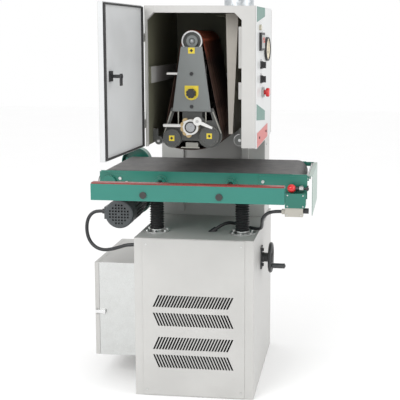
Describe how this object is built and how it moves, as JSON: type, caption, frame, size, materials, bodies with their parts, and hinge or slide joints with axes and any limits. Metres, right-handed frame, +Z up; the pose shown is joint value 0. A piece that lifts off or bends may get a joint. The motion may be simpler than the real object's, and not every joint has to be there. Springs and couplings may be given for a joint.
{
  "type": "wide belt sander",
  "caption": "Floor-standing open-end wide-belt sander with a rising conveyor table, three-roller head, hinged housing door and dust port.",
  "frame": {"origin": "middle of the base cabinet's foot print, on the floor", "axes": "+X towards the infeed end, +Y towards the rear column, +Z up"},
  "size_m": [0.9865, 1.2644, 1.68],
  "materials": {
    "cabinet_paint": "satin powder coat",
    "green_paint": "gloss enamel",
    "cast_grey": "painted casting",
    "steel": "ground",
    "galvanised": "galvanised sheet",
    "black_plastic": "moulded",
    "black_rubber": "matt",
    "motor_paint": "satin",
    "abrasive_cloth": "coated grain",
    "feed_rubber": "ribbed",
    "red_plastic": "moulded",
    "gold_cast": "cast",
    "inner_paint": "dusty",
    "graphite": "graphite cloth",
    "kick_paint": "satin"
  },
  "bodies": {
    "base": {"base_cabinet": "cabinet_paint", "base_louvre_panel": "cabinet_paint", "base_fasteners": "steel", "electrical_box": "cabinet_paint", "main_motor": "motor_paint", "v_belts": "black_rubber", "column": "cabinet_paint", "lift_chain": "steel", "lift_bellows": "black_rubber", "cable_glands": "black_plastic", "housing_shell": "cabinet_paint", "dust_hood": "inner_paint", "dust_port": "galvanised", "head_frame": "cast_grey", "roller_bearings": "cast_grey", "abrasive_belt": "abrasive_cloth", "hold_down_brackets": "cast_grey", "door_hinges": "cabinet_paint", "control_box": "cabinet_paint", "panel_instruments": "black_plastic", "motor_conduit": "black_rubber", "table_conduit": "black_rubber"},
    "box_door": {"box_door": "cabinet_paint"},
    "box_latch": {"box_latch": "steel"},
    "motor_pulley": {"motor_pulley": "cast_grey"},
    "lift_nut_left": {"lift_nut_left": "steel"},
    "lift_nut_right": {"lift_nut_right": "steel"},
    "handwheel": {"handwheel": "motor_paint"},
    "handwheel_grip": {"handwheel_grip": "black_plastic"},
    "upper_yoke": {"upper_yoke": "cast_grey"},
    "top_roller": {"top_roller": "steel"},
    "contact_drum": {"contact_drum": "black_rubber"},
    "guide_roller": {"guide_roller": "steel"},
    "tension_knob": {"tension_knob": "black_plastic"},
    "clamp_lever": {"clamp_lever": "gold_cast"},
    "platen_cam_lever": {"platen_cam_lever": "steel"},
    "platen": {"platen": "graphite"},
    "hold_down_roller_infeed": {"hold_down_roller_infeed": "steel"},
    "hold_down_roller_outfeed": {"hold_down_roller_outfeed": "steel"},
    "door_latch_handle": {"door_latch_handle": "black_plastic"},
    "selector_upper": {"selector_upper": "black_plastic"},
    "selector_lower": {"selector_lower": "black_plastic"},
    "estop_button": {"estop_button": "red_plastic"},
    "drive_roller": {"drive_roller": "steel"},
    "idler_roller": {"idler_roller": "steel"},
    "stop_lever": {"stop_lever": "red_plastic"},
    "kick_plate": {"kick_plate": "kick_paint"},
    "outboard_rail": {"outboard_rail": "green_paint"},
    "rail_knob_left": {"rail_knob_left": "black_plastic"},
    "rail_knob_right": {"rail_knob_right": "black_plastic"},
    "door": {"door_panel": "cabinet_paint", "door_gasket": "black_rubber", "door_latch_case": "black_plastic"},
    "table": {"table_frame": "cast_grey", "table_side_panel": "green_paint", "lift_screws": "steel", "conveyor_belt": "feed_rubber", "conveyor_motor": "motor_paint", "chain_guard": "green_paint", "switch_box": "green_paint"}
  },
  "joints": [
    {"name": "box_door_swing", "type": "hinge", "parent": "base", "child": "box_door", "pos_m": [-0.451, 0.266, 0.3], "axis": [0, 0, 1], "range_deg": [-120, 0]},
    {"name": "box_latch_swing", "type": "hinge", "parent": "box_door", "child": "box_latch", "pos_m": [-0.464, -0.192, 0.305], "axis": [0, 0, 1], "range_deg": [-90, 0]},
    {"name": "drum_spin", "type": "hinge", "parent": "base", "child": "contact_drum", "pos_m": [0.071, 0, 1.109], "axis": [0, 1, 0], "continuous": true},
    {"name": "motor_pulley_spin", "type": "hinge", "parent": "base", "child": "motor_pulley", "pos_m": [0, 0, 0.15], "axis": [0, 1, 0], "continuous": true},
    {"name": "guide_roller_spin", "type": "hinge", "parent": "base", "child": "guide_roller", "pos_m": [-0.082, 0, 1.098], "axis": [0, 1, 0], "continuous": true},
    {"name": "tension_slide", "type": "slide", "parent": "base", "child": "upper_yoke", "axis": [0, 0, 1], "range_m": [0, 0.012], "deforming": ["abrasive_belt"]},
    {"name": "top_roller_spin", "type": "hinge", "parent": "upper_yoke", "child": "top_roller", "pos_m": [0, 0, 1.486], "axis": [0, 1, 0], "continuous": true},
    {"name": "tension_knob_turn", "type": "hinge", "parent": "upper_yoke", "child": "tension_knob", "pos_m": [0, 0, 1.28], "axis": [0, 1, 0], "range_deg": [0, 90]},
    {"name": "clamp_swing", "type": "hinge", "parent": "base", "child": "clamp_lever", "pos_m": [0, 0, 1.146], "axis": [0, 1, 0], "range_deg": [0, 45]},
    {"name": "cam_swing", "type": "hinge", "parent": "base", "child": "platen_cam_lever", "pos_m": [0.03, 0, 1.171], "axis": [0, 1, 0], "range_deg": [-90, 0]},
    {"name": "platen_lift", "type": "slide", "parent": "base", "child": "platen", "axis": [0, 0, 1], "range_m": [0, 0.004]},
    {"name": "hold_down_infeed_spin", "type": "hinge", "parent": "base", "child": "hold_down_roller_infeed", "pos_m": [0.19, 0, 1.091], "axis": [0, 1, 0], "continuous": true},
    {"name": "hold_down_outfeed_spin", "type": "hinge", "parent": "base", "child": "hold_down_roller_outfeed", "pos_m": [-0.143, 0, 1.083], "axis": [0, 1, 0], "continuous": true},
    {"name": "door_swing", "type": "hinge", "parent": "base", "child": "door", "pos_m": [-0.172, -0.48, 1.35], "axis": [0, 0, 1], "range_deg": [-60, 93]},
    {"name": "door_latch_turn", "type": "hinge", "parent": "door", "child": "door_latch_handle", "pos_m": [-0.19037, -0.85158, 1.367], "axis": [0.998, -0.0628, 0], "range_deg": [-90, 0]},
    {"name": "selector_upper_turn", "type": "hinge", "parent": "base", "child": "selector_upper", "pos_m": [0.2746, -0.37325, 1.395], "axis": [0.9972, -0.075, 0], "range_deg": [-45, 45]},
    {"name": "selector_lower_turn", "type": "hinge", "parent": "base", "child": "selector_lower", "pos_m": [0.2746, -0.37325, 1.339], "axis": [0.9972, -0.075, 0], "range_deg": [-45, 45]},
    {"name": "estop_push", "type": "slide", "parent": "base", "child": "estop_button", "axis": [-0.9972, 0.075, 0], "range_m": [0, 0.006], "stiffness_N_per_m": 800, "springref_m": -0.002},
    {"name": "handwheel_turn", "type": "hinge", "parent": "base", "child": "handwheel", "pos_m": [0.293, -0.074, 0.543], "axis": [1, 0, 0], "continuous": true},
    {"name": "handwheel_grip_spin", "type": "hinge", "parent": "handwheel", "child": "handwheel_grip", "pos_m": [0.33, -0.12, 0.518], "axis": [1, 0, 0], "continuous": true},
    {"name": "lift_nut_left_turn", "type": "hinge", "parent": "base", "child": "lift_nut_left", "pos_m": [-0.184, -0.207, 0.65], "axis": [0, 0, 1], "continuous": true},
    {"name": "lift_nut_right_turn", "type": "hinge", "parent": "base", "child": "lift_nut_right", "pos_m": [0.184, -0.207, 0.65], "axis": [0, 0, 1], "continuous": true},
    {"name": "table_lift", "type": "slide", "parent": "base", "child": "table", "axis": [0, 0, 1], "range_m": [-0.018, 0.078], "deforming": ["lift_bellows", "motor_conduit", "table_conduit"]},
    {"name": "drive_roller_spin", "type": "hinge", "parent": "table", "child": "drive_roller", "pos_m": [-0.347, 0, 0.912], "axis": [0, 1, 0], "continuous": true},
    {"name": "idler_roller_spin", "type": "hinge", "parent": "table", "child": "idler_roller", "pos_m": [0.396, 0, 0.912], "axis": [0, 1, 0], "continuous": true},
    {"name": "stop_lever_pull", "type": "slide", "parent": "table", "child": "stop_lever", "axis": [1, 0, 0], "range_m": [-0.01, 0], "stiffness_N_per_m": 150, "springref_m": 0.003},
    {"name": "kick_plate_swing", "type": "hinge", "parent": "table", "child": "kick_plate", "pos_m": [0.464, 0, 0.943], "axis": [0, 1, 0], "range_deg": [0, 8], "stiffness_Nm_per_rad": 8, "springref_deg": -6.88},
    {"name": "rail_slide", "type": "slide", "parent": "table", "child": "outboard_rail", "axis": [0, 1, 0], "range_m": [0, 0.2]},
    {"name": "rail_knob_left_turn", "type": "hinge", "parent": "table", "child": "rail_knob_left", "pos_m": [-0.13, -0.371, 0.88], "axis": [0, 0, 1], "range_deg": [-180, 180]},
    {"name": "rail_knob_right_turn", "type": "hinge", "parent": "table", "child": "rail_knob_right", "pos_m": [0.157, -0.371, 0.88], "axis": [0, 0, 1], "range_deg": [-180, 180]}
  ],
  "couplings": [
    {"joint": "motor_pulley_spin", "follows": "drum_spin", "ratio": 0.82111},
    {"joint": "guide_roller_spin", "follows": "drum_spin", "ratio": 1.2368},
    {"joint": "top_roller_spin", "follows": "drum_spin", "ratio": 1.1191},
    {"joint": "platen_lift", "follows": "cam_swing", "m_per_rad": -0.0025465},
    {"joint": "lift_nut_left_turn", "follows": "table_lift", "rad_per_m": 628.32},
    {"joint": "lift_nut_right_turn", "follows": "table_lift", "rad_per_m": 628.32},
    {"joint": "handwheel_turn", "follows": "table_lift", "rad_per_m": 628.32},
    {"joint": "idler_roller_spin", "follows": "drive_roller_spin", "ratio": 1}
  ]
}
